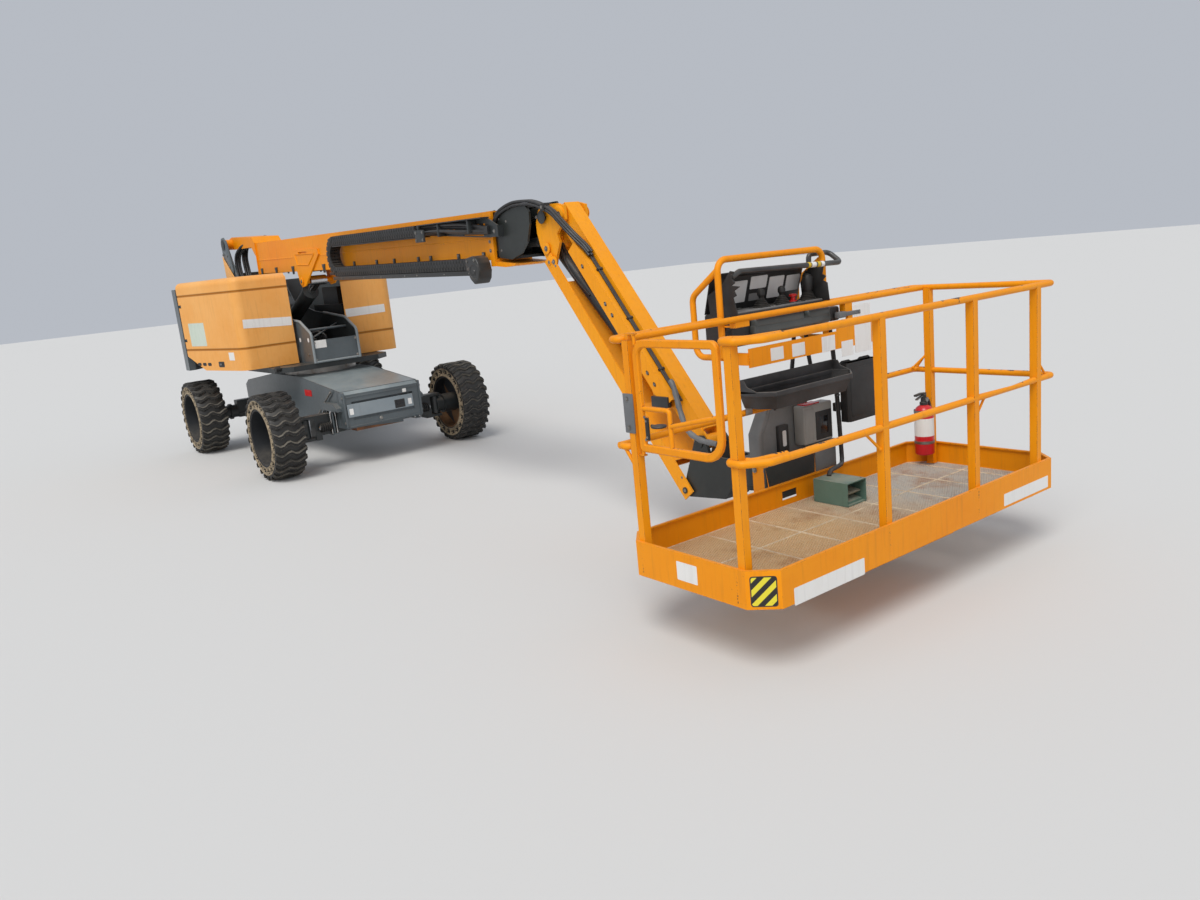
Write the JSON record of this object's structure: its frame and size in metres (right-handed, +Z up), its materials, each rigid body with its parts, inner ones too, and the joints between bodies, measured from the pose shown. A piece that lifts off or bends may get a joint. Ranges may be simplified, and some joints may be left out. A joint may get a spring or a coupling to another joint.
{
  "type": "telescopic boom lift with jib",
  "caption": "Self-propelled telescopic boom lift with a parallelogram jib, a railed work platform, solid tyres and a slewing turret with hoods.",
  "frame": {"origin": "on the ground, halfway along the machine's length and on its centre plane", "axes": "+X forward along the boom towards the platform, +Y to the machine's left, +Z up"},
  "size_m": [9.7, 2.42, 2.475],
  "materials": {
    "boom_paint": "satin enamel, worn at the edges",
    "hood_paint": "faded satin enamel",
    "grey_paint": "satin enamel, dusty",
    "dark_paint": "satin enamel, scuffed",
    "wheel_paint": "matt enamel, dusty",
    "tyre_rubber": "matt rubber with dried dust",
    "machined_steel": "turned and greased",
    "chrome_rod": "polished",
    "chain_plastic": "moulded, dusty",
    "engine_iron": "rough",
    "floor_mesh": "dull, rusted in places",
    "cover_plastic": "moulded, dusty",
    "console_steel": "textured",
    "guard_foam": "enamelled tube with a foam sleeve",
    "pedal_paint": "worn enamel",
    "red_paint": "gloss"
  },
  "bodies": {
    "chassis": {"chassis_frame": "grey_paint", "axle_front": "grey_paint", "axle_rear": "grey_paint", "slew_bearing": "machined_steel"},
    "steer_right": {"steer_knuckle_right": "grey_paint"},
    "steer_left": {"steer_knuckle_left": "grey_paint"},
    "wheel_front_right": {"rim_front_right": "wheel_paint", "tyre_front_right": "tyre_rubber"},
    "wheel_front_left": {"rim_front_left": "wheel_paint", "tyre_front_left": "tyre_rubber"},
    "wheel_rear_right": {"rim_rear_right": "wheel_paint", "tyre_rear_right": "tyre_rubber"},
    "wheel_rear_left": {"rim_rear_left": "wheel_paint", "tyre_rear_left": "tyre_rubber"},
    "turret": {"turret_frame": "grey_paint", "counterweight": "grey_paint", "engine_block": "engine_iron"},
    "hood_right": {"hood_right": "hood_paint"},
    "hood_left": {"hood_left": "hood_paint"},
    "boom": {"boom_base": "boom_paint", "chain_carrier": "chain_plastic"},
    "fly": {"boom_fly": "dark_paint", "chain_bracket": "dark_paint"},
    "lift_barrel": {"lift_barrel": "boom_paint"},
    "lift_rod": {"lift_rod": "chrome_rod"},
    "knuckle": {"knuckle": "boom_paint"},
    "level_barrel": {"level_barrel": "dark_paint"},
    "level_rod": {"level_rod": "chrome_rod"},
    "jib_upper": {"jib_upper": "boom_paint"},
    "jib_lower": {"jib_lower": "boom_paint"},
    "jib_barrel": {"jib_barrel": "dark_paint"},
    "jib_rod": {"jib_rod": "chrome_rod"},
    "jib_head": {"jib_head": "dark_paint"},
    "platform": {"rotator": "dark_paint", "rotator_cover": "cover_plastic", "platform_tray": "boom_paint", "platform_floor": "floor_mesh", "platform_rails": "boom_paint", "console": "console_steel", "console_guard": "guard_foam", "tool_tray": "console_steel", "document_box": "cover_plastic", "foot_pedal": "pedal_paint", "extinguisher": "red_paint"},
    "gate": {"gate": "boom_paint"}
  },
  "joints": [
    {"name": "steer_right", "type": "hinge", "parent": "chassis", "child": "steer_right", "pos_m": [-1.645, -0.72, 0.42], "axis": [0, 0, 1], "range_deg": [-35, 35]},
    {"name": "steer_left", "type": "hinge", "parent": "chassis", "child": "steer_left", "pos_m": [-1.645, 0.72, 0.42], "axis": [0, 0, 1], "range_deg": [-35, 35]},
    {"name": "spin_front_right", "type": "hinge", "parent": "steer_right", "child": "wheel_front_right", "pos_m": [-1.645, -1.01, 0.42], "axis": [0, 1, 0], "continuous": true},
    {"name": "spin_front_left", "type": "hinge", "parent": "steer_left", "child": "wheel_front_left", "pos_m": [-1.645, 1.01, 0.42], "axis": [0, 1, 0], "continuous": true},
    {"name": "spin_rear_right", "type": "hinge", "parent": "chassis", "child": "wheel_rear_right", "pos_m": [-4.125, -1.01, 0.42], "axis": [0, 1, 0], "continuous": true},
    {"name": "spin_rear_left", "type": "hinge", "parent": "chassis", "child": "wheel_rear_left", "pos_m": [-4.125, 1.01, 0.42], "axis": [0, 1, 0], "continuous": true},
    {"name": "turret_slew", "type": "hinge", "parent": "chassis", "child": "turret", "pos_m": [-2.885, 0, 0.9], "axis": [0, 0, 1], "continuous": true},
    {"name": "hood_right_door", "type": "hinge", "parent": "turret", "child": "hood_right", "pos_m": [-3.865, -1.095, 1.5], "axis": [0, 0, -1], "range_deg": [0, 75]},
    {"name": "hood_left_door", "type": "hinge", "parent": "turret", "child": "hood_left", "pos_m": [-3.865, 1.095, 1.5], "axis": [0, 0, 1], "range_deg": [0, 75]},
    {"name": "boom_lift", "type": "hinge", "parent": "turret", "child": "boom", "pos_m": [-4.765, 0, 2.385], "axis": [0, -1, 0], "range_deg": [0, 54]},
    {"name": "boom_telescope", "type": "slide", "parent": "boom", "child": "fly", "axis": [0.9997, 0, -0.0253], "range_m": [0, 4]},
    {"name": "lift_barrel_swing", "type": "hinge", "parent": "turret", "child": "lift_barrel", "pos_m": [-4.235, 0, 1.125], "axis": [0, -1, 0], "range_deg": [-1, 43.92]},
    {"name": "lift_rod_slide", "type": "slide", "parent": "lift_barrel", "child": "lift_rod", "axis": [0.9182, 0, 0.3962], "range_m": [-0.01, 1.166]},
    {"name": "knuckle_level", "type": "hinge", "parent": "fly", "child": "knuckle", "pos_m": [1.965, 0, 2.11], "axis": [0, -1, 0], "range_deg": [-55, 1]},
    {"name": "level_barrel_swing", "type": "hinge", "parent": "fly", "child": "level_barrel", "pos_m": [1.515, 0, 1.95], "axis": [0, -1, 0], "range_deg": [-1, 20.98]},
    {"name": "level_rod_slide", "type": "slide", "parent": "level_barrel", "child": "level_rod", "axis": [0.9997, 0, 0.0253], "range_m": [-0.082, 0.003]},
    {"name": "jib_lift", "type": "hinge", "parent": "knuckle", "child": "jib_upper", "pos_m": [2.146, 0, 2.11], "axis": [0, -1, 0], "range_deg": [-10, 70]},
    {"name": "jib_lower_link", "type": "hinge", "parent": "knuckle", "child": "jib_lower", "pos_m": [2.007, 0, 1.805], "axis": [0, -1, 0], "range_deg": [-11, 71]},
    {"name": "jib_head_level", "type": "hinge", "parent": "jib_upper", "child": "jib_head", "pos_m": [3.34, 0, 0.663], "axis": [0, -1, 0], "range_deg": [-71, 11]},
    {"name": "jib_barrel_swing", "type": "hinge", "parent": "knuckle", "child": "jib_barrel", "pos_m": [1.964, 0, 1.893], "axis": [0, -1, 0], "range_deg": [-10.2, 65.42]},
    {"name": "jib_rod_slide", "type": "slide", "parent": "jib_barrel", "child": "jib_rod", "axis": [0.7121, 0, -0.7021], "range_m": [-0.051, 0.298]},
    {"name": "platform_rotate", "type": "hinge", "parent": "jib_head", "child": "platform", "pos_m": [3.705, 0, 0.51], "axis": [0, 0, 1], "range_deg": [-75, 75]},
    {"name": "gate_door", "type": "hinge", "parent": "platform", "child": "gate", "pos_m": [4.115, -1.173, 1.2], "axis": [0, 0, 1], "range_deg": [0, 80]}
  ],
  "couplings": [
    {"joint": "steer_left", "follows": "steer_right", "ratio": 1},
    {"joint": "lift_barrel_swing", "follows": "boom_lift", "ratio": 0.79488},
    {"joint": "lift_rod_slide", "follows": "boom_lift", "m_per_rad": 1.2268},
    {"joint": "knuckle_level", "follows": "boom_lift", "ratio": -1},
    {"joint": "level_barrel_swing", "follows": "boom_lift", "ratio": 0.37007},
    {"joint": "level_rod_slide", "follows": "boom_lift", "m_per_rad": -0.08148},
    {"joint": "jib_lower_link", "follows": "jib_lift", "ratio": 1},
    {"joint": "jib_head_level", "follows": "jib_lift", "ratio": -1},
    {"joint": "jib_barrel_swing", "follows": "jib_lift", "ratio": 0.92026},
    {"joint": "jib_rod_slide", "follows": "jib_lift", "m_per_rad": 0.23595}
  ]
}
